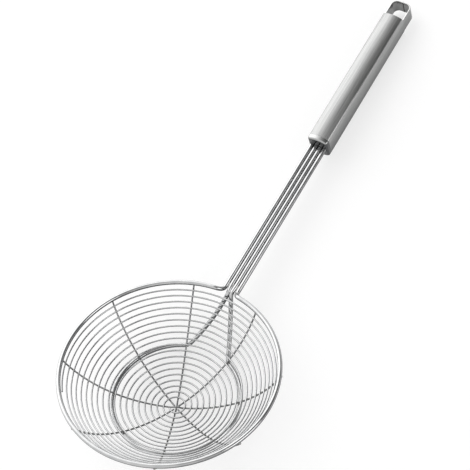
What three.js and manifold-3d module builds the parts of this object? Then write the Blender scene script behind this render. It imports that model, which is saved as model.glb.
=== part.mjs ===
// Wire skimmer: a spiral-wound bowl on a heavy rim, with four shank wires in a tubular handle.
// Millimetres. The skimmer lies on a table at Z = 0, on its bowl and on the far end of its handle tube,
// with the handle along +X and the bowl's mouth facing up.
import * as THREE from 'three';
import { mergeVertices } from 'three/addons/utils/BufferGeometryUtils.js';
import Module from 'manifold-3d';

const wasm = await Module();
wasm.setup();

// Wires
const RIM_DIAMETER = 137; // across the centre line of the rim wire
const HEAVY_WIRE = 2.9; // rim wire and support wire
const RIB_WIRE = 1.1;
const SPIRAL_WIRE = 1.1;
const WELD_GAP = 0.3; // left between pieces that are welded on the real object

// Bowl
const BOWL_DEPTH = 39.5; // from the rim's centre line down to the bottom of the spiral's sphere
const BOWL_OVERHANG = 0.6; // how far the spiral's sphere passes outside the rim's centre line
const RIB_LEAN = 3; // degrees, how far the ends of the ribs lean toward the handle
const CROSS_FLAT = 1.4; // half length of a rib's stretch at its own level in the crossing
const CROSS_REACH = 4.2; // distance from the crossing at which a rib is back on the bowl
const SPIRAL_TURNS = 18.94;
const SPIRAL_START_RADIUS = 4.3;
const SPIRAL_START_ANGLE = 150; // degrees, counter-clockwise from the handle
const SPIRAL_RIM_SPACE = 4.1; // from the last turn to the rim's centre line, along the bowl
const SUPPORT_RADIUS = 40.8; // support hoop, at its centre line
const SUPPORT_OFFSET = 1.6; // from the bowl's axis to the hoop's centre, toward the handle
const SUPPORT_HALF_GAP = 25; // degrees, from the handle's direction to where the hoop starts
const SUPPORT_BEND = 7; // bend from a leg into the hoop
const LEG_TOP = 69.5; // distance from the bowl's axis at which a leg leaves the bowl's curve

// Shank
const SHANK_GAP = 0.25; // between the four shank wires
const RIM_BEND = 6; // bend from the rim into the shank
const SHANK_LENGTH = 120.5; // from the rim's centre line to the end cap's face
const RISE_ANGLE = 11.5; // degrees, shank and handle against the plane of the rim
const NECK_DROP = 4.2; // how far the line of the shank passes below the rim's centre line
const NECK_REACH = 9; // from the rim's centre line to where the inner wires leave the shank's line
const WIRE_INSERT = 24; // length of the wires inside the end cap and the tube

// Handle
const HANDLE_SIDE = 14; // height of the flat sides, between their creases
const HANDLE_CROWN = 2; // rise of the crowned top and bottom
const CREASE = 0.9; // rounding at the creases
const WALL = 0.8;
const TUBE_CLEARANCE = 0.25; // between the outer wires and the walls of the tube
const BODY_LENGTH = 104.5;
const LOOP_LENGTH = 14.6; // from the end of the body to the far end of the loop
const LOOP_CORNER = 4.5;
const LOOP_STRIP = 11.6; // height of the side walls where they form the loop
const LOOP_SWEEP = 2.6; // length of the curve from the body's crease down to the loop's top edge
const LOOP_ROOT = 5; // how far the loop's strips reach back along the body's sides
const CAP_FLANGE = 3.2;
const CAP_ROUND = 1.5;
const CAP_PLUG = 8;
const CAP_CLEARANCE = 0.3; // round the plug, behind the flange and round the wires

// Facets
const HEAVY_SIDES = 10;
const RIB_SIDES = 8;
const SPIRAL_SIDES = 6;
const RIM_STEPS = 72;
const HOOP_STEPS = 54;
const LEG_STEPS = 10;
const BEND_STEPS = 8;
const RIB_STEPS = 20;
const SPIRAL_INNER_STEPS = 18;
const SPIRAL_OUTER_STEPS = 30;
const HOLE_SIDES = 16;
const CURVE_STEPS = 5;
const CAP_ROUND_STEPS = 3;

const radians = THREE.MathUtils.degToRad;
const steel = { metalness: 1, color: 0xb9bbbd };
const wireSteel = { ...steel, roughness: 0.25 };
const brushedSteel = { ...steel, roughness: 0.4 };
const polishedSteel = { ...steel, roughness: 0.15 };

// The spiral lies on a sphere. The ribs lie on its outside and the support wire on the outside of the ribs.
const rimRadius = RIM_DIAMETER / 2;
const mouthRadius = rimRadius + BOWL_OVERHANG;
const bowlCentreZ = (mouthRadius ** 2 - BOWL_DEPTH ** 2) / (2 * BOWL_DEPTH);
const spiralSphere = bowlCentreZ + BOWL_DEPTH;
const ribSphere = spiralSphere + (SPIRAL_WIRE + RIB_WIRE) / 2 + WELD_GAP;
const supportSphere = ribSphere + (RIB_WIRE + HEAVY_WIRE) / 2 + WELD_GAP;
const rimPolar = Math.atan2(rimRadius, bowlCentreZ);
const rise = radians(RISE_ANGLE);
const wireEnd = SHANK_LENGTH + WIRE_INSERT;
const lane = HEAVY_WIRE + SHANK_GAP;
const handleWidth = 3 * lane + HEAVY_WIRE + 2 * (TUBE_CLEARANCE + WALL);

// A bent wire: a curve that is given by its points, so that bends get short steps and straights long ones.
class BentWire extends THREE.Curve {
  constructor(points) {
    super();
    this.points = points;
  }

  getSpacedPoints() {
    return this.points;
  }

  getTangentAt(u, target = new THREE.Vector3()) {
    const last = this.points.length - 1;
    const index = Math.round(u * last);
    const before = this.points[Math.max(index - 1, 0)];
    const after = this.points[Math.min(index + 1, last)];
    return target.subVectors(after, before).normalize();
  }
}

function wire(name, points, diameter, sides) {
  const section = new THREE.Shape();
  for (let i = 0; i < sides; i += 1) {
    const angle = (2 * Math.PI * i) / sides;
    const corner = [(diameter / 2) * Math.cos(angle), (diameter / 2) * Math.sin(angle)];
    if (i === 0) section.moveTo(...corner);
    else section.lineTo(...corner);
  }
  const geometry = new THREE.ExtrudeGeometry(section, {
    steps: points.length - 1,
    extrudePath: new BentWire(points),
  });
  return piece(name, geometry, wireSteel);
}

function piece(name, geometry, look) {
  const mesh = new THREE.Mesh(geometry, new THREE.MeshStandardMaterial(look));
  mesh.name = name;
  return mesh;
}

// A point on a sphere about the bowl's centre, from its polar angle at the bottom and its azimuth.
function onBowl(sphere, polar, azimuth) {
  const radius = sphere * Math.sin(polar);
  const x = radius * Math.cos(azimuth);
  const y = radius * Math.sin(azimuth);
  return new THREE.Vector3(x, y, bowlCentreZ - sphere * Math.cos(polar));
}

// The point of a sphere straight below or above a place in plan.
function underPlan(sphere, x, y) {
  return new THREE.Vector3(x, y, bowlCentreZ - Math.sqrt(sphere ** 2 - x ** 2 - y ** 2));
}

// A point of the shank: distance from the rim along the wires, and place across them.
function onShank(distance, across) {
  const x = rimRadius + distance * Math.cos(rise);
  return new THREE.Vector3(x, across, distance * Math.sin(rise) - NECK_DROP);
}

// Points of a circular arc in plan, both ends included.
function planArc(centreX, centreY, radius, from, to, steps) {
  const points = [];
  for (let i = 0; i <= steps; i += 1) {
    const angle = from + ((to - from) * i) / steps;
    points.push([centreX + radius * Math.cos(angle), centreY + radius * Math.sin(angle)]);
  }
  return points;
}

// The same half of a wire on the other side of the handle, run through backwards.
function mirrored(points) {
  return points.map((point) => new THREE.Vector3(point.x, -point.y, point.z)).reverse();
}

// Each end of the rim turns out of the hoop and eases down onto the line of the shank.
function rimWire() {
  const across = 1.5 * lane;
  const bendX = Math.sqrt((rimRadius + RIM_BEND) ** 2 - (across + RIM_BEND) ** 2);
  const meet = Math.atan2(across + RIM_BEND, bendX);
  const bend = planArc(bendX, across + RIM_BEND, RIM_BEND, 1.5 * Math.PI, Math.PI + meet, BEND_STEPS);
  const bendLength = RIM_BEND * (Math.PI / 2 - meet);
  const endZ = onShank((bendX - rimRadius) / Math.cos(rise), across).z;
  const half = [onShank(wireEnd, across)];
  bend.forEach(([x, y], i) => {
    const left = 1 - i / BEND_STEPS;
    const ease = left ** 2 * (3 - 2 * left);
    const lean = left ** 2 * (left - 1) * bendLength * Math.tan(rise);
    half.push(new THREE.Vector3(x, y, endZ * ease + lean));
  });
  const rim = planArc(0, 0, rimRadius, meet, 2 * Math.PI - meet, RIM_STEPS);
  const hoop = rim.slice(1, -1).map(([x, y]) => new THREE.Vector3(x, y, 0));
  return wire('rim_wire', [...half, ...hoop, ...mirrored(half)], HEAVY_WIRE, HEAVY_SIDES);
}

function supportWire() {
  const across = 0.5 * lane;
  const start = radians(SUPPORT_HALF_GAP);
  const top = new THREE.Vector2(LEG_TOP, across);
  const bendCentre = new THREE.Vector2(Math.cos(start), Math.sin(start));
  bendCentre.multiplyScalar(SUPPORT_RADIUS + SUPPORT_BEND);
  bendCentre.x += SUPPORT_OFFSET;
  const toCentre = bendCentre.clone().sub(top);
  const heading = toCentre.angle() + Math.asin(SUPPORT_BEND / toCentre.length());
  const legLength = Math.sqrt(toCentre.lengthSq() - SUPPORT_BEND ** 2);

  const leg = [];
  for (let i = 0; i < LEG_STEPS; i += 1) {
    const along = (legLength * i) / LEG_STEPS;
    const x = top.x + along * Math.cos(heading);
    const y = top.y + along * Math.sin(heading);
    leg.push(underPlan(supportSphere, x, y));
  }
  const bendStart = heading + Math.PI / 2;
  const bend = planArc(bendCentre.x, bendCentre.y, SUPPORT_BEND, bendStart, Math.PI + start, BEND_STEPS);
  bend.forEach(([x, y]) => leg.push(underPlan(supportSphere, x, y)));

  const shankEnd = onShank(NECK_REACH, across);
  const shankWay = new THREE.Vector3(-Math.cos(rise), 0, -Math.sin(rise));
  const legWay = leg[1].clone().sub(leg[0]).normalize();
  const reach = shankEnd.distanceTo(leg[0]) / 2.5;
  const neck = new THREE.CubicBezierCurve3(
    shankEnd,
    shankEnd.clone().addScaledVector(shankWay, reach),
    leg[0].clone().addScaledVector(legWay, -reach),
    leg[0],
  );
  const half = [onShank(wireEnd, across), ...neck.getPoints(BEND_STEPS).slice(0, -1), ...leg];
  const hoop = planArc(SUPPORT_OFFSET, 0, SUPPORT_RADIUS, start, 2 * Math.PI - start, HOOP_STEPS);
  const around = hoop.slice(1, -1).map(([x, y]) => underPlan(supportSphere, x, y));
  return wire('support_wire', [...half, ...around, ...mirrored(half)], HEAVY_WIRE, HEAVY_SIDES);
}

// Points of a rib from its start near the crossing to its end against the underside of the rim, with
// shorter steps toward the crossing. A drop lowers or raises it where it meets another rib.
function ribPoints(azimuth, start, drop) {
  const outside = ribSphere - RIB_WIRE / 2 - Math.hypot(rimRadius, bowlCentreZ);
  const below = Math.sqrt((HEAVY_WIRE / 2 + WELD_GAP) ** 2 - outside ** 2);
  const end = ribSphere * rimPolar - below;
  const points = [];
  for (let i = 0; i <= RIB_STEPS; i += 1) {
    const distance = THREE.MathUtils.lerp(start, end, (i / RIB_STEPS) ** 2);
    const lean = radians(RIB_LEAN) * Math.sign(Math.sin(azimuth)) * (distance / end) ** 2;
    const ease = THREE.MathUtils.smoothstep(distance, CROSS_FLAT, CROSS_REACH);
    points.push(onBowl(ribSphere + drop * (1 - ease), distance / ribSphere, azimuth - lean));
  }
  return points;
}

// Two ribs run right across the bowl, one over the other.
function crossRib(name, azimuth, drop) {
  const far = ribPoints(azimuth + Math.PI, 0, drop).reverse();
  const near = ribPoints(azimuth, 0, drop).slice(1);
  return wire(name, [...far, ...near], RIB_WIRE, RIB_SIDES);
}

// Four more ribs end in the corners of the crossing.
function cornerRib(name, azimuth) {
  const start = RIB_WIRE / 2 + (RIB_WIRE / 2 + WELD_GAP) * Math.SQRT2;
  return wire(name, ribPoints(azimuth, start, 0), RIB_WIRE, RIB_SIDES);
}

// The spiral climbs the bowl at a steady rate along its curve, with more steps to the larger turns.
function spiralPoints() {
  const firstPolar = Math.asin(SPIRAL_START_RADIUS / spiralSphere);
  const lastPolar = rimPolar - SPIRAL_RIM_SPACE / spiralSphere;
  const points = [];
  let turn = 0;
  while (turn < SPIRAL_TURNS) {
    const share = turn / SPIRAL_TURNS;
    const polar = THREE.MathUtils.lerp(firstPolar, lastPolar, share);
    points.push(onBowl(spiralSphere, polar, radians(SPIRAL_START_ANGLE) + 2 * Math.PI * turn));
    turn += 1 / Math.round(THREE.MathUtils.lerp(SPIRAL_INNER_STEPS, SPIRAL_OUTER_STEPS, share));
  }
  const firstWay = points[0].clone().sub(points[1]).normalize();
  const lastWay = points.at(-1).clone().sub(points.at(-2)).normalize();
  points.unshift(points[0].clone().addScaledVector(firstWay, SPIRAL_WIRE));
  points.push(points.at(-1).clone().addScaledVector(lastWay, SPIRAL_WIRE));
  return points;
}

// Least gap between one turn of the spiral and another, measured between its points.
function leastGap(points, diameter) {
  let least = Infinity;
  const apart = SPIRAL_INNER_STEPS / 2;
  for (let i = 0; i < points.length; i += 1) {
    for (let j = i + apart; j < points.length; j += 1) {
      least = Math.min(least, points[i].distanceTo(points[j]) - diameter);
    }
  }
  return least;
}

function solid(geometry) {
  const bare = geometry.clone();
  bare.deleteAttribute('normal');
  bare.deleteAttribute('uv');
  const merged = mergeVertices(bare, 1e-4);
  return new wasm.Manifold(new wasm.Mesh({
    numProp: 3,
    vertProperties: Float32Array.from(merged.attributes.position.array),
    triVerts: Uint32Array.from(merged.index.array),
  }));
}

function geometryOf(manifold) {
  const mesh = manifold.getMesh();
  const geometry = new THREE.BufferGeometry();
  geometry.setAttribute('position', new THREE.BufferAttribute(mesh.vertProperties, 3));
  geometry.setIndex(new THREE.BufferAttribute(mesh.triVerts, 1));
  geometry.computeVertexNormals();
  return geometry;
}

// The handle's section, drawn across and up: flat sides with a crowned top and bottom. An inset of the
// section has its walls that much further in all round.
function handleSection(inset) {
  const crownRadius = ((handleWidth / 2) ** 2 + HANDLE_CROWN ** 2) / (2 * HANDLE_CROWN);
  const centre = HANDLE_SIDE / 2 + HANDLE_CROWN - crownRadius;
  const half = handleWidth / 2 - inset;
  const radius = crownRadius - inset;
  const corner = Math.acos(half / radius);
  const eased = corner + CREASE / radius;
  const creaseZ = centre + radius * Math.sin(corner);
  const easedX = radius * Math.cos(eased);
  const easedZ = centre + radius * Math.sin(eased);
  const shape = new THREE.Shape();
  shape.moveTo(half, -creaseZ + CREASE);
  shape.lineTo(half, creaseZ - CREASE);
  shape.quadraticCurveTo(half, creaseZ, easedX, easedZ);
  shape.absarc(0, centre, radius, eased, Math.PI - eased, false);
  shape.quadraticCurveTo(-half, creaseZ, -half, creaseZ - CREASE);
  shape.lineTo(-half, -creaseZ + CREASE);
  shape.quadraticCurveTo(-half, -creaseZ, -easedX, -easedZ);
  shape.absarc(0, -centre, radius, Math.PI + eased, 2 * Math.PI - eased, false);
  shape.quadraticCurveTo(half, -creaseZ, half, -creaseZ + CREASE);
  return shape;
}

// A section extruded along the handle, from one distance to another.
function alongHandle(section, from, to) {
  const settings = { depth: to - from, curveSegments: CURVE_STEPS, bevelEnabled: false };
  const geometry = new THREE.ExtrudeGeometry(section, settings);
  const across = new THREE.Vector3(0, 1, 0);
  const up = new THREE.Vector3(0, 0, 1);
  const along = new THREE.Vector3(1, 0, 0);
  geometry.applyMatrix4(new THREE.Matrix4().makeBasis(across, up, along));
  return geometry.translate(from, 0, 0);
}

// The loop in plan: the side walls of the body run on, turn two corners and meet at the far end.
function loopPlan() {
  const root = BODY_LENGTH - LOOP_ROOT;
  const turn = BODY_LENGTH + LOOP_LENGTH - LOOP_CORNER;
  const half = handleWidth / 2;
  const side = half - LOOP_CORNER;
  const inner = LOOP_CORNER - WALL;
  const shape = new THREE.Shape();
  shape.moveTo(root, -half);
  shape.lineTo(turn, -half);
  shape.absarc(turn, -side, LOOP_CORNER, -Math.PI / 2, 0, false);
  shape.absarc(turn, side, LOOP_CORNER, 0, Math.PI / 2, false);
  shape.lineTo(root, half);
  shape.lineTo(root, half - WALL);
  shape.lineTo(turn, half - WALL);
  shape.absarc(turn, side, inner, Math.PI / 2, 0, true);
  shape.absarc(turn, -side, inner, 0, -Math.PI / 2, true);
  shape.lineTo(root, -half + WALL);
  shape.closePath();
  return shape;
}

// What is trimmed off above the loop, seen from the side: it sweeps down from the crease at the body's end.
function loopTrim() {
  const top = HANDLE_SIDE / 2;
  const edge = LOOP_STRIP - top;
  const over = top + HANDLE_CROWN;
  const end = BODY_LENGTH + 2 * LOOP_LENGTH;
  const shape = new THREE.Shape();
  shape.moveTo(BODY_LENGTH, over);
  shape.lineTo(BODY_LENGTH, top);
  shape.quadraticCurveTo(BODY_LENGTH, edge, BODY_LENGTH + LOOP_SWEEP, edge);
  shape.lineTo(end, edge);
  shape.lineTo(end, over);
  shape.closePath();
  const settings = { depth: 2 * handleWidth, curveSegments: CURVE_STEPS, bevelEnabled: false };
  const geometry = new THREE.ExtrudeGeometry(shape, settings);
  return geometry.rotateX(Math.PI / 2).translate(0, handleWidth, 0);
}

function handleTube() {
  const section = handleSection(0);
  section.holes.push(handleSection(WALL));
  const body = solid(alongHandle(section, 0, BODY_LENGTH));
  const height = HANDLE_SIDE - 2 * CREASE;
  const settings = { depth: height, curveSegments: CURVE_STEPS, bevelEnabled: false };
  const strip = new THREE.ExtrudeGeometry(loopPlan(), settings).translate(0, 0, -height / 2);
  const loop = solid(strip).subtract(solid(loopTrim()));
  return piece('handle_tube', geometryOf(body.add(loop)), brushedSteel);
}

// A solid through sections of the handle, each at a distance along it and with an inset.
function loftAlong(stations) {
  const rings = stations.map(([along, inset]) => {
    const outline = handleSection(inset).getPoints(CURVE_STEPS).slice(0, -1);
    return outline.map((point) => new THREE.Vector3(along, point.x, point.y));
  });
  const size = rings[0].length;
  const index = [];
  for (let ring = 0; ring + 1 < rings.length; ring += 1) {
    for (let i = 0; i < size; i += 1) {
      const here = ring * size + i;
      const next = ring * size + ((i + 1) % size);
      index.push(here, next, next + size, here, next + size, here + size);
    }
  }
  const last = (rings.length - 1) * size;
  const flat = rings[0].map((point) => new THREE.Vector2(point.y, point.z));
  THREE.ShapeUtils.triangulateShape(flat, []).forEach(([a, b, c]) => {
    index.push(c, b, a, last + a, last + b, last + c);
  });
  const geometry = new THREE.BufferGeometry().setFromPoints(rings.flat());
  return geometry.setIndex(index);
}

function handleEndCap() {
  const back = -CAP_CLEARANCE;
  const face = back - CAP_FLANGE;
  const stations = [];
  for (let i = 0; i <= CAP_ROUND_STEPS; i += 1) {
    const turn = (Math.PI / 2) * (i / CAP_ROUND_STEPS);
    stations.push([face + CAP_ROUND * (1 - Math.cos(turn)), CAP_ROUND * (1 - Math.sin(turn))]);
  }
  stations.push([back, 0]);
  const flange = solid(loftAlong(stations));
  const plugInset = WALL + CAP_CLEARANCE;
  const plug = solid(loftAlong([[face + CAP_ROUND, plugInset], [CAP_PLUG, plugInset]]));
  let cap = flange.add(plug);
  const hole = HEAVY_WIRE / 2 + CAP_CLEARANCE;
  const length = 2 * (CAP_FLANGE + CAP_PLUG);
  for (let place = -1.5; place <= 1.5; place += 1) {
    const drill = new THREE.CylinderGeometry(hole, hole, length, HOLE_SIDES);
    cap = cap.subtract(solid(drill.rotateZ(Math.PI / 2).translate(0, place * lane, 0)));
  }
  return piece('handle_end_cap', geometryOf(cap), polishedSteel);
}

// Bowl and handle in the plane of the rim, with the bowl's axis along Z
const bowl = new THREE.Group();
const spiral = spiralPoints();
bowl.add(rimWire(), supportWire(), wire('spiral_wire', spiral, SPIRAL_WIRE, SPIRAL_SIDES));
const crossDrop = (RIB_WIRE + WELD_GAP) / 2;
bowl.add(crossRib('cross_rib_lower', Math.PI / 8, crossDrop));
bowl.add(crossRib('cross_rib_upper', (5 * Math.PI) / 8, -crossDrop));
for (let corner = 0; corner < 4; corner += 1) {
  bowl.add(cornerRib(`corner_rib_${corner + 1}`, ((4 * corner + 3) * Math.PI) / 8));
}
console.log(`least gap in the spiral: ${leastGap(spiral, SPIRAL_WIRE).toFixed(2)} mm`);

const handle = new THREE.Group();
handle.add(handleTube(), handleEndCap());
const handleOrigin = SHANK_LENGTH + CAP_FLANGE + CAP_CLEARANCE;
handle.position.copy(onShank(handleOrigin, 0));
handle.rotation.y = -rise;

const skimmer = new THREE.Group();
skimmer.add(bowl, handle);

// Lay the skimmer down: tip it until the bowl and the handle touch the table alike.
function lowest(part, tip) {
  skimmer.rotation.y = tip;
  skimmer.updateMatrixWorld(true);
  return new THREE.Box3().setFromObject(part, true).min.z;
}

let level = 0;
let steep = radians(45);
for (let i = 0; i < 40; i += 1) {
  const middle = (level + steep) / 2;
  if (lowest(handle, middle) > lowest(bowl, middle)) level = middle;
  else steep = middle;
}
skimmer.rotation.y = level;
skimmer.updateMatrixWorld(true);
const extent = new THREE.Box3().setFromObject(skimmer, true);
skimmer.position.set(-(extent.min.x + extent.max.x) / 2, 0, -extent.min.z);

const model = new THREE.Group();
model.add(skimmer);

export default model;
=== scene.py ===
import math
import bpy
from mathutils import Matrix, Vector


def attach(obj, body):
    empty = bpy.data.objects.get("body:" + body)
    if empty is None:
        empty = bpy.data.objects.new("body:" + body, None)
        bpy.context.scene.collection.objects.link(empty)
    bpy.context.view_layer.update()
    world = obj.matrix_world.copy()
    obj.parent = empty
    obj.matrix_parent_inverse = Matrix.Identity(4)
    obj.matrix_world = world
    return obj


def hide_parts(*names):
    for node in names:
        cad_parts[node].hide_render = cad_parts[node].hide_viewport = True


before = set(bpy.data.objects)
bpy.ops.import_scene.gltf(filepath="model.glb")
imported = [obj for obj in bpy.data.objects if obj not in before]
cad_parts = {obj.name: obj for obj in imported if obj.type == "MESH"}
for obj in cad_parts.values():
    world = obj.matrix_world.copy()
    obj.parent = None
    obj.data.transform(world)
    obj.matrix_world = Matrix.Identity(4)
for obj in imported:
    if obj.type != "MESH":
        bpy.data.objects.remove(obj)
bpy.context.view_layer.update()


# Rim wire: one length of heavy bright stainless wire. It is bent round into the hoop of the bowl's
# mouth, and both of its ends turn out of the hoop and run side by side into the handle.
HEAVY_WIRE = 2.9
HEAVY_RINGS = 6
RIM_RADIUS = 68.5
RIM_BEND = 6
RIM_STEPS = 200
BEND_STEPS = 14
SHANK_GAP = 0.25
OUTER_LANE = 1.5
RISE = math.radians(11.5)
NECK_DROP = 4.2
WIRE_END = 144.5
WIRE_STEP = 2
MERGE_DISTANCE = 0.001
SOFT_ANGLE = math.radians(50)
TIP = math.radians(14.540857)
BOWL_X = -120.2615
BOWL_Z = 42.3726
MM = 0.001
lane = HEAVY_WIRE + SHANK_GAP


def on_table(point):
    """A place in metres on the table, from millimetres in the plane of the rim."""
    x, y, z = point
    along = x * math.cos(TIP) + z * math.sin(TIP) + BOWL_X
    up = z * math.cos(TIP) - x * math.sin(TIP) + BOWL_Z
    return Vector((along, y, up)) * MM


def on_shank(distance, across):
    """A place in the plane of the rim, from millimetres along the shank and across it."""
    height = distance * math.sin(RISE) - NECK_DROP
    return Vector((RIM_RADIUS + distance * math.cos(RISE), across, height))


def plan_arc(centre, radius, start, end, steps):
    points = []
    for i in range(steps + 1):
        angle = start + (end - start) * i / steps
        points.append((centre[0] + radius * math.cos(angle), centre[1] + radius * math.sin(angle)))
    return points


def mirrored(points):
    """The other half of a wire that is the same on both sides, in the order it runs on."""
    return [Vector((point.x, -point.y, point.z)) for point in reversed(points)]


def straight(start, end):
    """Points from one place to another, the first included and the last not."""
    count = max(1, round((end - start).length / WIRE_STEP))
    return [start.lerp(end, i / count) for i in range(count)]


def soft_step(share):
    """From 0 to 1 as the share does, with a level start and end."""
    return share ** 2 * (3 - 2 * share)


def bent_wire(name, points, diameter, rings):
    """A round wire along points in the plane of the rim, with flat cut ends."""
    bpy.ops.object.select_all(action="DESELECT")
    bpy.ops.curve.primitive_nurbs_path_add(location=(0, 0, 0))
    wire = bpy.context.active_object
    wire.name = name
    wire.data.splines.clear()
    spline = wire.data.splines.new("POLY")
    spline.points.add(len(points) - 1)
    for spot, point in zip(spline.points, points):
        spot.co = (*on_table(point), 1)
    wire.data.bevel_depth = diameter / 2 * MM
    wire.data.bevel_resolution = rings
    wire.data.use_fill_caps = True
    bpy.ops.object.convert(target="MESH")
    bpy.ops.object.mode_set(mode="EDIT")
    bpy.ops.mesh.select_all(action="SELECT")
    bpy.ops.mesh.remove_doubles(threshold=MERGE_DISTANCE * MM)
    bpy.ops.mesh.normals_make_consistent(inside=False)
    bpy.ops.object.mode_set(mode="OBJECT")
    bpy.ops.object.shade_smooth_by_angle(angle=SOFT_ANGLE)
    return wire


def linear(colour):
    channels = [int(colour[i:i + 2], 16) / 255 for i in (1, 3, 5)]
    return (*[c / 12.92 if c <= 0.04045 else ((c + 0.055) / 1.055) ** 2.4 for c in channels], 1)


def add_node(tree, kind, settings, inputs):
    """A node with its settings. An input is a value, or the output that it is linked to."""
    node = tree.nodes.new(kind)
    for name, value in settings.items():
        setattr(node, name, value)
    for name, value in inputs.items():
        if isinstance(value, bpy.types.NodeSocket):
            tree.links.new(value, node.inputs[name])
        else:
            node.inputs[name].default_value = value
    return node


def new_steel(name):
    """A bare steel, with its nodes, its shader and the coordinates that its pattern is drawn on."""
    steel = bpy.data.materials.new(name)
    steel.use_nodes = True
    tree = steel.node_tree
    surface = tree.nodes["Principled BSDF"]
    surface.inputs["Metallic"].default_value = 1
    place = add_node(tree, "ShaderNodeTexCoord", {}, {})
    return steel, tree, surface, place


# Bright drawn stainless: pulled through a die and pickled clean, so it is smooth and mirrors the room
# in narrow lines along the wire, with a faint cloudiness all over. Its base colour carries painted
# shade:
# the sides and the underside are painted dark grey by the way they face, and the upper side keeps the
# bright tone.
CLOUD_SIZE = 6
WIRE_ROUGHNESS = (0.09, 0.17)
WIRE_PAINTED_SHADE_FROM = 0.25
WIRE_PAINTED_SHADE_TO = 0.62
NOISE_LOW = 0.3
NOISE_HIGH = 0.7
MIX_FIRST = 6
MIX_SECOND = 7
MIX_RESULT = 2
drawn_steel, tree, surface, place = new_steel("bright_drawn_stainless")
cloud = add_node(tree, "ShaderNodeTexNoise", {}, {
    "Vector": place.outputs["Object"], "Scale": 1 / (CLOUD_SIZE * MM), "Detail": 3})
tone = add_node(tree, "ShaderNodeValToRGB", {}, {"Fac": cloud.outputs["Fac"]})
tone.color_ramp.elements[0].position = NOISE_LOW
tone.color_ramp.elements[0].color = linear("#B8B9BA")
tone.color_ramp.elements[1].position = NOISE_HIGH
tone.color_ramp.elements[1].color = linear("#C8C8C8")
# Painted shade: by the way the surface faces, the base colour goes from the bright tone on top to dark
# grey #545657 on the sides and underside.
facing = add_node(tree, "ShaderNodeSeparateXYZ", {}, {"Vector": place.outputs["Normal"]})
painted_top_light = add_node(tree, "ShaderNodeMapRange", {"interpolation_type": "SMOOTHSTEP"}, {
    "Value": facing.outputs["Z"], "From Min": WIRE_PAINTED_SHADE_FROM, "From Max": WIRE_PAINTED_SHADE_TO})
painted_shade_mix = add_node(tree, "ShaderNodeMix", {"data_type": "RGBA"}, {
    "Factor": painted_top_light.outputs["Result"],
    MIX_FIRST: linear("#545657"),
    MIX_SECOND: tone.outputs["Color"]})
tree.links.new(painted_shade_mix.outputs[MIX_RESULT], surface.inputs["Base Color"])
gloss = add_node(tree, "ShaderNodeMapRange", {}, {
    "Value": cloud.outputs["Fac"], "From Min": NOISE_LOW, "From Max": NOISE_HIGH,
    "To Min": WIRE_ROUGHNESS[0], "To Max": WIRE_ROUGHNESS[1]})
tree.links.new(gloss.outputs["Result"], surface.inputs["Roughness"])

across = OUTER_LANE * lane
bend_x = math.sqrt((RIM_RADIUS + RIM_BEND) ** 2 - (across + RIM_BEND) ** 2)
meet = math.atan2(across + RIM_BEND, bend_x)
bend_length = RIM_BEND * (math.pi / 2 - meet)
bend_z = on_shank((bend_x - RIM_RADIUS) / math.cos(RISE), across).z
bend = []
turn = plan_arc((bend_x, across + RIM_BEND), RIM_BEND, 1.5 * math.pi, math.pi + meet, BEND_STEPS)
for i, (x, y) in enumerate(turn):
    left = 1 - i / BEND_STEPS
    lean = left ** 2 * (left - 1) * bend_length * math.tan(RISE)
    bend.append(Vector((x, y, bend_z * soft_step(left) + lean)))
half = straight(on_shank(WIRE_END, across), bend[0]) + bend
hoop = plan_arc((0, 0), RIM_RADIUS, meet, 2 * math.pi - meet, RIM_STEPS)
around = [Vector((x, y, 0)) for x, y in hoop[1:-1]]
rim = bent_wire("rim_hoop_and_shank", half + around + mirrored(half), HEAVY_WIRE, HEAVY_RINGS)
rim.data.materials.append(drawn_steel)
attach(rim, "root")
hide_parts("rim_wire")


# Support wire: a second length of the same heavy wire. Its middle is bent into a hoop under the bowl,
# and its two legs climb to the rim, pass under it and run between the rim's ends into the handle.
RIB_WIRE = 1.1
SPIRAL_WIRE = 1.1
WELD_GAP = 0.3
SPIRAL_SPHERE = 80.19
BOWL_CENTRE = 40.69
SUPPORT_RADIUS = 40.8
SUPPORT_OFFSET = 1.6
SUPPORT_START = math.radians(25)
SUPPORT_BEND = 7
SUPPORT_STEPS = 140
INNER_LANE = 0.5
LEG_TOP = 69.5
LEG_STEPS = 24
NECK_REACH = 9
NECK_EASE = 2.5
rib_sphere = SPIRAL_SPHERE + (SPIRAL_WIRE + RIB_WIRE) / 2 + WELD_GAP
support_sphere = rib_sphere + (RIB_WIRE + HEAVY_WIRE) / 2 + WELD_GAP
shank_way = Vector((math.cos(RISE), 0, math.sin(RISE)))


def under_plan(sphere, x, y):
    """The place on the underside of a sphere of the bowl that lies under a place in plan."""
    return Vector((x, y, BOWL_CENTRE - math.sqrt(sphere ** 2 - x ** 2 - y ** 2)))


across = INNER_LANE * lane
leg_top = Vector((LEG_TOP, across))
start_way = Vector((math.cos(SUPPORT_START), math.sin(SUPPORT_START)))
bend_centre = start_way * (SUPPORT_RADIUS + SUPPORT_BEND)
bend_centre.x += SUPPORT_OFFSET
to_centre = bend_centre - leg_top
heading = math.atan2(to_centre.y, to_centre.x) + math.asin(SUPPORT_BEND / to_centre.length)
leg_length = math.sqrt(to_centre.length_squared - SUPPORT_BEND ** 2)
leg_way = Vector((math.cos(heading), math.sin(heading)))
leg = []
for i in range(LEG_STEPS):
    spot = leg_top + leg_way * leg_length * i / LEG_STEPS
    leg.append(under_plan(support_sphere, spot.x, spot.y))
turn = plan_arc(bend_centre, SUPPORT_BEND, heading + math.pi / 2, math.pi + SUPPORT_START, BEND_STEPS)
leg += [under_plan(support_sphere, x, y) for x, y in turn]
shank_end = on_shank(NECK_REACH, across)
reach = (shank_end - leg[0]).length / NECK_EASE
neck_from = shank_end - shank_way * reach
neck_to = leg[0] - (leg[1] - leg[0]).normalized() * reach
neck = []
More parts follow.
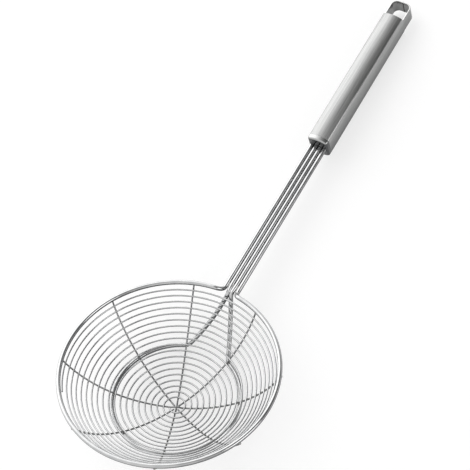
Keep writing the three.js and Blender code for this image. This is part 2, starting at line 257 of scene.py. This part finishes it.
for i in range(BEND_STEPS):
    t = i / BEND_STEPS
    start_share = shank_end * (1 - t) ** 3 + neck_from * 3 * t * (1 - t) ** 2
    neck.append(start_share + neck_to * 3 * t ** 2 * (1 - t) + leg[0] * t ** 3)
half = straight(on_shank(WIRE_END, across), shank_end) + neck + leg
hoop_end = 2 * math.pi - SUPPORT_START
hoop = plan_arc((SUPPORT_OFFSET, 0), SUPPORT_RADIUS, SUPPORT_START, hoop_end, SUPPORT_STEPS)
around = [under_plan(support_sphere, x, y) for x, y in hoop[1:-1]]
support = bent_wire("support_hoop_and_legs", half + around + mirrored(half), HEAVY_WIRE, HEAVY_RINGS)
support.data.materials.append(drawn_steel)
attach(support, "root")
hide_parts("support_wire")


# Ribs: thin stainless wire, bent to the bowl. Two run right across it, one over the other, and four
# more are cut off in the corners of that crossing. All end against the underside of the rim.
RIB_RINGS = 4
RIB_STEPS = 44
RIB_CROWDING = 1.5
RIB_ARMS = 8
CORNER_RIBS = 4
RIB_LEAN = math.radians(3)
CROSS_FLAT = 1.4
CROSS_REACH = 4.2
half_arm = math.pi / RIB_ARMS
rim_polar = math.atan2(RIM_RADIUS, BOWL_CENTRE)
cross_drop = (RIB_WIRE + WELD_GAP) / 2
corner_start = RIB_WIRE / 2 + (RIB_WIRE / 2 + WELD_GAP) * math.sqrt(2)
rib_outside = rib_sphere - RIB_WIRE / 2 - math.hypot(RIM_RADIUS, BOWL_CENTRE)
rib_end = rib_sphere * rim_polar - math.sqrt((HEAVY_WIRE / 2 + WELD_GAP) ** 2 - rib_outside ** 2)


def on_bowl(sphere, polar, azimuth):
    radius = sphere * math.sin(polar)
    height = BOWL_CENTRE - sphere * math.cos(polar)
    return Vector((radius * math.cos(azimuth), radius * math.sin(azimuth), height))


def rib_azimuth(azimuth, distance):
    """Where a rib has got to round the bowl, as it leans over a little towards the rim."""
    return azimuth - math.copysign(RIB_LEAN, math.sin(azimuth)) * (distance / rib_end) ** 2


def rib_points(azimuth, start, drop):
    """An arm of a rib from near the middle out to the rim, lowered in the middle by the drop."""
    points = []
    for i in range(RIB_STEPS + 1):
        distance = start + (rib_end - start) * (i / RIB_STEPS) ** RIB_CROWDING
        share = min(max((distance - CROSS_FLAT) / (CROSS_REACH - CROSS_FLAT), 0), 1)
        left = 1 - soft_step(share)
        turned = rib_azimuth(azimuth, distance)
        points.append(on_bowl(rib_sphere + drop * left, distance / rib_sphere, turned))
    return points


def retoned(steel, name, dark, light):
    """The same steel under another name, with its tone between two other greys."""
    copy = steel.copy()
    copy.name = name
    for node in copy.node_tree.nodes:
        if node.type == "VALTORGB":
            node.color_ramp.elements[0].color = linear(dark)
            node.color_ramp.elements[1].color = linear(light)
    return copy


# Annealed stainless: the drawn wire, softened in a furnace to take the bowl's bend, which leaves it with
# the same narrow reflections in a greyer tone.
# The copy keeps the drawn wire's painted shade: its sides and underside are painted dark grey by the way
# they face.
annealed_steel = retoned(drawn_steel, "annealed_stainless", "#828384", "#949494")

for name, azimuth, drop in (
    ("cross_rib_lower", half_arm, cross_drop),
    ("cross_rib_upper", 5 * half_arm, -cross_drop),
):
    far_half = rib_points(azimuth + math.pi, 0, drop)
    points = far_half[::-1] + rib_points(azimuth, 0, drop)[1:]
    rib = bent_wire(name + "_wire", points, RIB_WIRE, RIB_RINGS)
    rib.data.materials.append(annealed_steel)
    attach(rib, "root")
    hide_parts(name)
for corner in range(CORNER_RIBS):
    points = rib_points((4 * corner + 3) * half_arm, corner_start, 0)
    rib = bent_wire(f"corner_rib_wire_{corner + 1}", points, RIB_WIRE, RIB_RINGS)
    rib.data.materials.append(annealed_steel)
    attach(rib, "root")
    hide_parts(f"corner_rib_{corner + 1}")


# Spiral: one thin stainless wire wound into the bowl from the middle outwards, in turns that lie on
# the inside of the ribs at an even spacing.
SPIRAL_RINGS = 3
SPIRAL_TURNS = 18.94
SPIRAL_START_RADIUS = 4.3
SPIRAL_START = math.radians(150)
SPIRAL_RIM_SPACE = 4.1
INNER_TURN_STEPS = 36
OUTER_TURN_EXTRA = 60
first_polar = math.asin(SPIRAL_START_RADIUS / SPIRAL_SPHERE)
last_polar = rim_polar - SPIRAL_RIM_SPACE / SPIRAL_SPHERE


def spiral_polar(turns):
    return first_polar + (last_polar - first_polar) * turns / SPIRAL_TURNS


def on_spiral(turns):
    return on_bowl(SPIRAL_SPHERE, spiral_polar(turns), SPIRAL_START + 2 * math.pi * turns)


points = []
turns = 0
while turns < SPIRAL_TURNS:
    points.append(on_spiral(turns))
    turns += 1 / round(INNER_TURN_STEPS + OUTER_TURN_EXTRA * turns / SPIRAL_TURNS)
points.append(on_spiral(SPIRAL_TURNS))
points.insert(0, points[0] + (points[0] - points[1]).normalized() * SPIRAL_WIRE)
points.append(points[-1] + (points[-1] - points[-2]).normalized() * SPIRAL_WIRE)
spiral = bent_wire("bowl_spiral", points, SPIRAL_WIRE, SPIRAL_RINGS)
spiral.data.materials.append(drawn_steel)
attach(spiral, "root")
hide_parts("spiral_wire")


# Crossing welds: small nuggets of melted wire that the welder left where a turn of the spiral lies on
# a rib, where the ribs cross, where they meet the support wire and the rim, and between the shank
# wires at the neck.
NUGGET = 0.62
NUGGET_FLAT = 0.75
NUGGET_SIDES = 8
NUGGET_RINGS = 6
NUGGET_DEPTH = 0.65
END_NUGGET = 0.8
HOOP_NUGGET = 0.85
HOOP_NUGGET_SHIFT = 0.35
NECK_NUGGET = 0.8
NECK_NUGGET_LENGTH = 2.6
NECK_WELD = 7.5

bpy.ops.object.select_all(action="DESELECT")
bpy.ops.mesh.primitive_uv_sphere_add(segments=NUGGET_SIDES, ring_count=NUGGET_RINGS, radius=1)
nugget = bpy.context.active_object
bpy.ops.object.mode_set(mode="EDIT")
bpy.ops.mesh.select_all(action="SELECT")
bpy.ops.transform.resize(value=(1, 1, NUGGET_FLAT))
bpy.ops.object.mode_set(mode="OBJECT")
bpy.ops.object.shade_smooth()


def set_nugget(point, outward, size, stretch=1, along=None):
    """A copy of the nugget at a place in the plane of the rim, flat side across the outward way."""
    copy = nugget.copy()
    copy.data = nugget.data.copy()
    bpy.context.collection.objects.link(copy)
    up = outward.normalized()
    along = (along or up.orthogonal()).normalized()
    across = up.cross(along)
    shape = Matrix((along * size * stretch, across * size, up * size)).transposed().to_4x4()
    tipped = Matrix.Rotation(TIP, 4, "Y")
    copy.data.transform(Matrix.Translation(on_table(point)) @ tipped @ Matrix.Scale(MM, 4) @ shape)
    copy.select_set(True)
    return copy


bowl_middle = Vector((0, 0, BOWL_CENTRE))
upright = Vector((0, 0, 1))
support_points = leg + around + mirrored(leg)
bpy.ops.object.select_all(action="DESELECT")
for arm in range(RIB_ARMS):
    azimuth = (2 * arm + 1) * half_arm
    for lap in range(-1, math.ceil(SPIRAL_TURNS) + 1):
        turns = (azimuth - SPIRAL_START) / (2 * math.pi) + lap
        turned = rib_azimuth(azimuth, rib_sphere * spiral_polar(turns))
        turns += (turned - azimuth) / (2 * math.pi)
        if 0 <= turns <= SPIRAL_TURNS:
            spot = on_bowl(SPIRAL_SPHERE + NUGGET_DEPTH, spiral_polar(turns), turned)
            set_nugget(spot, spot - bowl_middle, NUGGET)
    arm_points = rib_points(azimuth, corner_start, 0)
    spot = arm_points[-1]
    to_rim = Vector((math.cos(turned), math.sin(turned), 0)) * RIM_RADIUS - spot
    set_nugget(spot + to_rim.normalized() * RIB_WIRE / 2, to_rim, END_NUGGET)
    pairs = [(on_rib, on_support) for on_rib in arm_points for on_support in support_points]
    on_rib, on_support = min(pairs, key=lambda pair: (pair[0] - pair[1]).length)
    set_nugget(on_rib.lerp(on_support, HOOP_NUGGET_SHIFT), on_rib - on_support, HOOP_NUGGET)
for groove in (-1, 0, 1):
    spot = on_shank(NECK_WELD, groove * lane)
    set_nugget(spot, upright, NECK_NUGGET, NECK_NUGGET_LENGTH, shank_way)
welds = set_nugget(bowl_middle - upright * rib_sphere, upright, END_NUGGET)
bpy.context.view_layer.objects.active = welds
bpy.ops.object.join()
welds.name = "crossing_welds"
bpy.data.objects.remove(nugget)

# Weld metal: the wire's own steel, melted and set, so it is duller than the drawn surface, with a faint
# straw tint from the heat that the pickling left.
SPATTER = 0.7
WELD_ROUGHNESS = 0.34
weld_steel, tree, surface, place = new_steel("pickled_weld_stainless")
surface.inputs["Roughness"].default_value = WELD_ROUGHNESS
mottle = add_node(tree, "ShaderNodeTexNoise", {}, {
    "Vector": place.outputs["Object"], "Scale": 1 / (SPATTER * MM), "Detail": 2})
tone = add_node(tree, "ShaderNodeValToRGB", {}, {"Fac": mottle.outputs["Fac"]})
tone.color_ramp.elements[0].color = linear("#A9A8A6")
tone.color_ramp.elements[1].color = linear("#C2C1BF")
tree.links.new(tone.outputs["Color"], surface.inputs["Base Color"])
welds.data.materials.append(weld_steel)
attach(welds, "root")


# Handle tube: stainless sheet folded into a tube with flat sides and a crowned top and bottom. Past
# the end of the tube its two sides run on, turn in and are butt welded, which makes the hanging loop.
LANES = 4
TUBE_CLEARANCE = 0.25
WALL = 0.8
HANDLE_SIDE = 14
HANDLE_CROWN = 2
CREASE = 0.9
CREASE_STEPS = 5
HALF_CROWN_STEPS = 10
BODY_LENGTH = 104.5
LOOP_LENGTH = 14.6
LOOP_CORNER = 4.5
LOOP_CORNER_STEPS = 12
LOOP_TOP = 4.6
LOOP_SWEEP = 2.6
LOOP_SWEEP_STEPS = 6
EDGE_ROUND = 0.13
EDGE_STEPS = 2
SHARP_ANGLE = math.radians(50)
SHEET_SOFT_ANGLE = math.radians(35)
SLACK = 0.01
SHANK_LENGTH = 120.5
CAP_FLANGE = 3.2
CAP_CLEARANCE = 0.3
handle_half = ((LANES - 1) * lane + HEAVY_WIRE) / 2 + TUBE_CLEARANCE + WALL
crown_radius = (handle_half ** 2 + HANDLE_CROWN ** 2) / (2 * HANDLE_CROWN)
crown_centre = HANDLE_SIDE / 2 + HANDLE_CROWN - crown_radius
tube_start = on_shank(SHANK_LENGTH + CAP_FLANGE + CAP_CLEARANCE, 0)


def from_handle(along, across, up):
    """A place in the plane of the rim, from millimetres along, across and up the handle."""
    x = tube_start.x + along * math.cos(RISE) - up * math.sin(RISE)
    return Vector((x, across, tube_start.z + along * math.sin(RISE) + up * math.cos(RISE)))


def on_handle(along, across, up):
    return on_table(from_handle(along, across, up))


def quarter_section(inset):
    """Upper right quarter of the handle's section, from the flat side up to the middle of the crown."""
    half = handle_half - inset
    radius = crown_radius - inset
    corner = math.acos(half / radius)
    eased = corner + CREASE / radius
    crease_up = crown_centre + radius * math.sin(corner)
    below = Vector((half, crease_up - CREASE))
    tip = Vector((half, crease_up))
    beyond = Vector((radius * math.cos(eased), crown_centre + radius * math.sin(eased)))
    points = []
    for i in range(CREASE_STEPS + 1):
        t = i / CREASE_STEPS
        points.append(below * (1 - t) ** 2 + tip * 2 * t * (1 - t) + beyond * t ** 2)
    for i in range(1, HALF_CROWN_STEPS + 1):
        angle = eased + (math.pi / 2 - eased) * i / HALF_CROWN_STEPS
        points.append(Vector((radius * math.cos(angle), crown_centre + radius * math.sin(angle))))
    return points


def section(inset):
    """The whole section, its lower half first and then its upper half from the right side."""
    right = quarter_section(inset)
    top = right + [Vector((-point.x, point.y)) for point in reversed(right[:-1])]
    return [Vector((-point.x, -point.y)) for point in top] + top


def section_ring(name, along, inset):
    """A closed ring of edges on the handle's section."""
    outline = section(inset)
    bpy.ops.object.select_all(action="DESELECT")
    bpy.ops.mesh.primitive_circle_add(vertices=len(outline), radius=handle_half * MM)
    ring = bpy.context.active_object
    ring.name = name
    for vertex, point in zip(ring.data.vertices, outline):
        vertex.co = on_handle(along, point.x, point.y)
    return ring


def select_points(obj, wanted):
    """Select the vertices of an object in edit mode that a test picks by their place."""
    bpy.ops.object.mode_set(mode="OBJECT")
    for part in (obj.data.polygons, obj.data.edges, obj.data.vertices):
        part.foreach_set("select", [False] * len(part))
    for vertex in obj.data.vertices:
        vertex.select = wanted(vertex.co)
    bpy.ops.object.mode_set(mode="EDIT")


handle_origin = on_handle(0, 0, 0)
handle_along = (on_handle(1, 0, 0) - handle_origin).normalized()
handle_up = (on_handle(0, 0, 1) - handle_origin).normalized()


def along_of(co):
    return (co - handle_origin).dot(handle_along) / MM


def up_of(co):
    return (co - handle_origin).dot(handle_up) / MM


# Brushed stainless sheet: a belt has left fine lines along the handle, which spread the reflections
# across it and leave them soft. The lines are drawn 0.5 mm apart, because real ones would not show. The
# base colour carries painted shade, growing darker from the crown down towards the underside.
BRUSH_WIDTH = 0.5
BRUSH_LENGTH = 40
BRUSH_RELIEF = 0.08
BRUSH_DEPTH = 0.2
SHEET_ROUGHNESS = (0.28, 0.38)
brushed_steel, tree, surface, place = new_steel("brushed_stainless_sheet")
lengthwise = add_node(tree, "ShaderNodeMapping", {"vector_type": "TEXTURE"}, {
    "Vector": place.outputs["Object"],
    "Location": handle_origin,
    "Rotation": (0, TIP - RISE, 0),
    "Scale": (BRUSH_LENGTH * MM, BRUSH_WIDTH * MM, BRUSH_WIDTH * MM)})
lines = add_node(tree, "ShaderNodeTexNoise", {}, {
    "Vector": lengthwise.outputs["Vector"], "Scale": 1, "Detail": 3})
tone = add_node(tree, "ShaderNodeValToRGB", {}, {"Fac": lines.outputs["Fac"]})
tone.color_ramp.elements[0].position = NOISE_LOW
tone.color_ramp.elements[0].color = linear("#949595")
tone.color_ramp.elements[1].position = NOISE_HIGH
tone.color_ramp.elements[1].color = linear("#B6B6B5")
# Painted shade: by height on the handle, the base colour goes from the bright tone at the top to dark
# grey #585959 at the underside.
height = add_node(tree, "ShaderNodeSeparateXYZ", {}, {"Vector": lengthwise.outputs["Vector"]})
painted_shade_height = add_node(tree, "ShaderNodeMapRange", {}, {
    "Value": height.outputs["Z"],
    "From Min": -HANDLE_SIDE / 2 / BRUSH_WIDTH, "From Max": HANDLE_SIDE / 2 / BRUSH_WIDTH})
painted_shade_mix = add_node(tree, "ShaderNodeMix", {"data_type": "RGBA"}, {
    "Factor": painted_shade_height.outputs["Result"],
    MIX_FIRST: linear("#585959"),
    MIX_SECOND: tone.outputs["Color"]})
tree.links.new(painted_shade_mix.outputs[MIX_RESULT], surface.inputs["Base Color"])
gloss = add_node(tree, "ShaderNodeMapRange", {}, {
    "Value": lines.outputs["Fac"], "From Min": NOISE_LOW, "From Max": NOISE_HIGH,
    "To Min": SHEET_ROUGHNESS[0], "To Max": SHEET_ROUGHNESS[1]})
tree.links.new(gloss.outputs["Result"], surface.inputs["Roughness"])
relief = add_node(tree, "ShaderNodeBump", {}, {
    "Height": lines.outputs["Fac"], "Strength": BRUSH_RELIEF, "Distance": BRUSH_DEPTH * MM})
tree.links.new(relief.outputs["Normal"], surface.inputs["Normal"])

# Ground stainless edge: the cut edges of the sheet, finished on a fine wheel, so they catch the light as
# thin bright lines. The grinding leaves a faint unevenness.
GRINDING = 0.8
EDGE_ROUGHNESS = (0.15, 0.25)
ground_edge, tree, surface, place = new_steel("ground_stainless_edge")
marks = add_node(tree, "ShaderNodeTexNoise", {}, {
    "Vector": place.outputs["Object"], "Scale": 1 / (GRINDING * MM), "Detail": 2})
tone = add_node(tree, "ShaderNodeValToRGB", {}, {"Fac": marks.outputs["Fac"]})
tone.color_ramp.elements[0].color = linear("#C6C6C6")
tone.color_ramp.elements[1].color = linear("#DCDCDB")
tree.links.new(tone.outputs["Color"], surface.inputs["Base Color"])
gloss = add_node(tree, "ShaderNodeMapRange", {}, {
    "Value": marks.outputs["Fac"], "From Min": NOISE_LOW, "From Max": NOISE_HIGH,
    "To Min": EDGE_ROUGHNESS[0], "To Max": EDGE_ROUGHNESS[1]})
tree.links.new(gloss.outputs["Result"], surface.inputs["Roughness"])

tube = section_ring("handle_tube_and_loop", 0, 0)
bpy.ops.object.mode_set(mode="EDIT")
bpy.ops.mesh.select_mode(type="VERT")
bpy.ops.mesh.select_all(action="SELECT")
bpy.ops.mesh.extrude_region_move(TRANSFORM_OT_translate={"value": handle_along * BODY_LENGTH * MM})
flat_half = quarter_section(0)[0].y
turn_along = BODY_LENGTH + LOOP_LENGTH - LOOP_CORNER
turn_across = handle_half - LOOP_CORNER
plan = []
for i in range(1, LOOP_SWEEP_STEPS + 1):
    plan.append((BODY_LENGTH + LOOP_SWEEP * i / LOOP_SWEEP_STEPS, handle_half))
plan.append((turn_along, handle_half))
corner = plan_arc((turn_along, turn_across), LOOP_CORNER, math.pi / 2, 0, LOOP_CORNER_STEPS)
plan += corner[1:] + [(BODY_LENGTH + LOOP_LENGTH, 0)]
for side in (-1, 1):
    before = Vector((BODY_LENGTH, handle_half))
    top_before = flat_half
    select_points(tube, lambda co: along_of(co) > BODY_LENGTH - SLACK
                  and abs(co.y / MM - side * handle_half) < SLACK
                  and abs(up_of(co)) < flat_half + SLACK)
    for along, across in plan:
        swept = min((along - BODY_LENGTH) / LOOP_SWEEP, 1)
        top = LOOP_TOP + (flat_half - LOOP_TOP) * (1 - math.sqrt(swept)) ** 2
        step = handle_along * (along - before.x) * MM
        step.y += side * (across - before.y) * MM
        bpy.ops.mesh.extrude_region_move(TRANSFORM_OT_translate={"value": step})
        bpy.ops.object.mode_set(mode="OBJECT")
        ends = [vertex for vertex in tube.data.vertices if vertex.select]
        upper = max(ends, key=lambda vertex: up_of(vertex.co))
        upper.co += handle_up * (top - top_before) * MM
        bpy.ops.object.mode_set(mode="EDIT")
        before = Vector((along, across))
        top_before = top
bpy.ops.mesh.select_all(action="SELECT")
bpy.ops.mesh.remove_doubles(threshold=MERGE_DISTANCE * MM)
bpy.ops.mesh.normals_make_consistent(inside=False)
bpy.ops.object.mode_set(mode="OBJECT")
wall = tube.modifiers.new("wall", "SOLIDIFY")
wall.thickness = WALL * MM
wall.offset = -1
wall.use_even_offset = True
wall.material_offset_rim = 1
tube.data.materials.append(brushed_steel)
tube.data.materials.append(ground_edge)
bpy.ops.object.modifier_apply(modifier=wall.name)
edges = tube.modifiers.new("edges", "BEVEL")
edges.width = EDGE_ROUND * MM
edges.segments = EDGE_STEPS
edges.limit_method = "ANGLE"
edges.angle_limit = SHARP_ANGLE
bpy.ops.object.modifier_apply(modifier=edges.name)
bpy.ops.object.shade_smooth_by_angle(angle=SHEET_SOFT_ANGLE)
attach(tube, "root")
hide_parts("handle_tube")


# Loop seam: the upright butt weld where the two sides of the loop meet at its far end. It stands a
# little proud of the sheet on both faces.
SEAM_WIDTH = 1.2
SEAM_RINGS = 4
SEAM_STEPS = 14
SEAM_SHORT = 0.1
SEAM_WAVER = 0.06
SEAM_WAVER_TURN = 2.1
seam_length = LOOP_TOP + flat_half - 2 * SEAM_SHORT
seam_points = []
for i in range(SEAM_STEPS + 1):
    up = -flat_half + SEAM_SHORT + seam_length * i / SEAM_STEPS
    waver = SEAM_WAVER * math.sin(SEAM_WAVER_TURN * i)
    seam_points.append(from_handle(BODY_LENGTH + LOOP_LENGTH - WALL / 2, waver, up))
seam = bent_wire("loop_butt_weld", seam_points, SEAM_WIDTH, SEAM_RINGS)

# Heat-tinted weld: the seam is left as it was welded, so it stays a dark line down the bright sheet.
tinted_steel = retoned(weld_steel, "heat_tinted_weld_stainless", "#2E2D2C", "#555351")
seam.data.materials.append(tinted_steel)
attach(seam, "root")


# End cap: a polished stainless block that closes the front of the tube. Its flange has rounded edges,
# its plug sits in the tube, and the four shank wires go in through four round holes.
CAP_ROUND = 1.5
CAP_ROUND_STEPS = 6
CAP_PLUG = 8
CAP_SEAT = 0.03
HOLE_STEPS = 28
DRILL_LENGTH = 32
cap_back = -CAP_SEAT
cap_face = -CAP_CLEARANCE - CAP_FLANGE
plug_inset = WALL + CAP_CLEARANCE
cap = section_ring("polished_end_cap", cap_face, CAP_ROUND)
bpy.ops.object.mode_set(mode="EDIT")
bpy.ops.mesh.select_mode(type="VERT")
bpy.ops.mesh.select_all(action="SELECT")
stations = []
for i in range(1, CAP_ROUND_STEPS + 1):
    turn = math.pi / 2 * i / CAP_ROUND_STEPS
    stations.append((cap_face + CAP_ROUND * (1 - math.cos(turn)), CAP_ROUND * (1 - math.sin(turn))))
stations += [(cap_back, 0), (cap_back, plug_inset), (CAP_PLUG, plug_inset)]
for along, inset in stations:
    bpy.ops.mesh.extrude_region_move()
    bpy.ops.object.mode_set(mode="OBJECT")
    new_ring = [vertex for vertex in cap.data.vertices if vertex.select]
    for vertex, point in zip(new_ring, section(inset)):
        vertex.co = on_handle(along, point.x, point.y)
    bpy.ops.object.mode_set(mode="EDIT")
bpy.ops.mesh.edge_face_add()
select_points(cap, lambda co: along_of(co) < cap_face + SLACK)
bpy.ops.mesh.edge_face_add()
bpy.ops.mesh.select_all(action="SELECT")
bpy.ops.mesh.normals_make_consistent(inside=False)
bpy.ops.object.mode_set(mode="OBJECT")
for position in range(LANES):
    across = (position - (LANES - 1) / 2) * lane
    bpy.ops.object.select_all(action="DESELECT")
    bpy.ops.mesh.primitive_cylinder_add(
        vertices=HOLE_STEPS,
        radius=(HEAVY_WIRE / 2 + CAP_CLEARANCE) * MM,
        depth=DRILL_LENGTH * MM,
        location=on_handle(0, across, 0),
        rotation=(0, math.pi / 2 + TIP - RISE, 0))
    drill = bpy.context.active_object
    bpy.context.view_layer.objects.active = cap
    hole = cap.modifiers.new("hole", "BOOLEAN")
    hole.operation = "DIFFERENCE"
    hole.object = drill
    bpy.ops.object.modifier_apply(modifier=hole.name)
    bpy.data.objects.remove(drill)
cap.select_set(True)
bpy.ops.object.shade_smooth_by_angle(angle=SHEET_SOFT_ANGLE)

# Polished stainless: the top of the flange mirrors the room clearly with a slight haze. The face between
# the wires and the sides carry painted shade, a dark grey given by the way they face, and upward faces
# keep the bright tone.
HAZE_SIZE = 3
CAP_ROUGHNESS = (0.06, 0.14)
CAP_PAINTED_SHADE_FROM = 0.1
CAP_PAINTED_SHADE_TO = 0.8
polished_steel, tree, surface, place = new_steel("polished_stainless")
haze = add_node(tree, "ShaderNodeTexNoise", {}, {
    "Vector": place.outputs["Object"], "Scale": 1 / (HAZE_SIZE * MM), "Detail": 3})
tone = add_node(tree, "ShaderNodeValToRGB", {}, {"Fac": haze.outputs["Fac"]})
tone.color_ramp.elements[0].color = linear("#A8A9A9")
tone.color_ramp.elements[1].color = linear("#B6B6B5")
# Painted shade: by the way the surface faces, the base colour goes from the bright tone on top to dark
# grey #4E4F50 on the face and sides.
facing = add_node(tree, "ShaderNodeSeparateXYZ", {}, {"Vector": place.outputs["Normal"]})
painted_top_light = add_node(tree, "ShaderNodeMapRange", {"interpolation_type": "SMOOTHSTEP"}, {
    "Value": facing.outputs["Z"], "From Min": CAP_PAINTED_SHADE_FROM, "From Max": CAP_PAINTED_SHADE_TO})
face = add_node(tree, "ShaderNodeMix", {"data_type": "RGBA"}, {
    "Factor": painted_top_light.outputs["Result"],
    MIX_FIRST: linear("#4E4F50"),
    MIX_SECOND: tone.outputs["Color"]})
tree.links.new(face.outputs[MIX_RESULT], surface.inputs["Base Color"])
gloss = add_node(tree, "ShaderNodeMapRange", {}, {
    "Value": haze.outputs["Fac"], "From Min": NOISE_LOW, "From Max": NOISE_HIGH,
    "To Min": CAP_ROUGHNESS[0], "To Max": CAP_ROUGHNESS[1]})
tree.links.new(gloss.outputs["Result"], surface.inputs["Roughness"])
cap.data.materials.append(polished_steel)
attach(cap, "root")
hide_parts("handle_end_cap")


# Studio: a white floor that keeps a soft shadow, and white surroundings. A large bright card stands to
# the left of the handle and a small one to the right of the bowl. Two black cards give the steel its
# dark lines.
SURROUNDINGS = 0.8
FLOOR_SIZE = 6
FLOOR_DROP = 0.2
FLOOR_LIFT = 0.66
PAPER_ROUGHNESS = 0.9
BRIGHT_CARD_LEVEL = 2.4
CARD_SEGMENTS = 64
CARD_RINGS = 32


def seen_directly(tree):
    """1 for what the camera sees, straight or in a reflection, and 0 for what only sheds light."""
    path = add_node(tree, "ShaderNodeLightPath", {}, {})
    either = add_node(tree, "ShaderNodeMath", {"operation": "MAXIMUM"}, {
        0: path.outputs["Is Camera Ray"], 1: path.outputs["Is Glossy Ray"]})
    return add_node(tree, "ShaderNodeMath", {"operation": "MAXIMUM"}, {
        0: either.outputs["Value"], 1: path.outputs["Is Transmission Ray"]}).outputs["Value"]


bpy.ops.object.select_all(action="DESELECT")
bpy.ops.mesh.primitive_plane_add(size=FLOOR_SIZE, location=(0, 0, -FLOOR_DROP * MM))
floor = bpy.context.active_object
floor.name = "studio_floor"
floor_white = bpy.data.materials.new("white_studio_paper")
floor_white.use_nodes = True
tree = floor_white.node_tree
surface = tree.nodes["Principled BSDF"]
surface.inputs["Base Color"].default_value = linear("#A9A9A9")
surface.inputs["Roughness"].default_value = PAPER_ROUGHNESS
surface.inputs["Specular IOR Level"].default_value = 0
surface.inputs["Emission Color"].default_value = linear("#FFFFFF")
lift = add_node(tree, "ShaderNodeMath", {"operation": "MULTIPLY"}, {
    0: seen_directly(tree), 1: FLOOR_LIFT})
tree.links.new(lift.outputs["Value"], surface.inputs["Emission Strength"])
floor.data.materials.append(floor_white)

# Each card is part of a sphere round the object. Its row gives the sphere's radius in metres, then in
# degrees the way to its middle, round and up, and how far it is full and where it ends, counted from
# its middle, then how much it covers and how brightly it glows.
for name, distance, azimuth, height, core, edge, cover, glow in (
    ("studio_bright_card", 2.5, 55, 22, 15, 75, 1, BRIGHT_CARD_LEVEL),
    ("studio_tall_black_card", 2.4, -40, 37, 15, 80, 0.85, 0),
    ("studio_low_black_card", 2.3, -106, -43, 50, 75, 0.9, 0),
    ("studio_side_card", 2.2, -83, 28, 15, 20, 1, BRIGHT_CARD_LEVEL),
):
    raised = Matrix.Rotation(math.radians(-height), 3, "Y")
    turned = Matrix.Rotation(math.radians(azimuth), 3, "Z") @ raised
    card_way = turned @ Vector((1, 0, 0))
    bpy.ops.object.select_all(action="DESELECT")
    bpy.ops.mesh.primitive_uv_sphere_add(segments=CARD_SEGMENTS, ring_count=CARD_RINGS, radius=distance)
    card = bpy.context.active_object
    card.name = name
    bpy.ops.object.mode_set(mode="EDIT")
    bpy.ops.mesh.select_all(action="SELECT")
    cut = card_way * distance * math.cos(math.radians(edge))
    bpy.ops.mesh.bisect(plane_co=cut, plane_no=card_way, clear_inner=True)
    bpy.ops.mesh.select_all(action="SELECT")
    bpy.ops.mesh.flip_normals()
    bpy.ops.object.mode_set(mode="OBJECT")
    bpy.ops.object.shade_smooth()
    paint = bpy.data.materials.new(name + "_paper")
    paint.use_nodes = True
    tree = paint.node_tree
    surface = tree.nodes["Principled BSDF"]
    surface.inputs["Base Color"].default_value = linear("#181818")
    surface.inputs["Roughness"].default_value = PAPER_ROUGHNESS
    surface.inputs["Emission Color"].default_value = linear("#FFFFFF")
    surface.inputs["Emission Strength"].default_value = glow
    place = add_node(tree, "ShaderNodeTexCoord", {}, {})
    facing = add_node(tree, "ShaderNodeVectorMath", {"operation": "DOT_PRODUCT"}, {
        0: place.outputs["Object"], 1: card_way / distance})
    angle = add_node(tree, "ShaderNodeMath", {"operation": "ARCCOSINE"}, {0: facing.outputs["Value"]})
    fade = add_node(tree, "ShaderNodeMapRange", {"interpolation_type": "SMOOTHSTEP"}, {
        "Value": angle.outputs["Value"],
        "From Min": math.radians(edge), "From Max": math.radians(core), "To Max": cover})
    tree.links.new(fade.outputs["Result"], surface.inputs["Alpha"])
    card.data.materials.append(paint)
    card.visible_camera = False

world = bpy.data.worlds.new("white_studio")
bpy.context.scene.world = world
world.use_nodes = True
tree = world.node_tree
surroundings = tree.nodes["Background"]
surroundings.inputs["Color"].default_value = linear("#FFFFFF")
level = add_node(tree, "ShaderNodeMapRange", {}, {
    "Value": seen_directly(tree), "To Min": SURROUNDINGS, "To Max": 1})
tree.links.new(level.outputs["Result"], surroundings.inputs["Strength"])


# Camera: a long lens, looking down on the bowl from in front and to the right of the handle. Its place
# is in metres, and its focal length is in pixels of the picture.
PICTURE_WIDTH = 470
FOCAL_LENGTH = 1800
SENSOR_WIDTH = 36
CAMERA_PLACE = Vector((-0.3580, -0.4335, 1.0345))
CAMERA_RIGHT = Vector((0.48163, -0.84964, -0.21488))
CAMERA_UP = Vector((0.82520, 0.35708, 0.43767))
CAMERA_BACK = Vector((-0.29513, -0.38811, 0.87309))
bpy.ops.object.camera_add()
camera = bpy.context.active_object
camera.data.sensor_width = SENSOR_WIDTH
camera.data.lens = SENSOR_WIDTH * FOCAL_LENGTH / PICTURE_WIDTH
turned = Matrix((CAMERA_RIGHT, CAMERA_UP, CAMERA_BACK)).transposed().to_4x4()
camera.matrix_world = Matrix.Translation(CAMERA_PLACE) @ turned
bpy.context.scene.camera = camera
bpy.context.scene.view_settings.view_transform = "Standard"
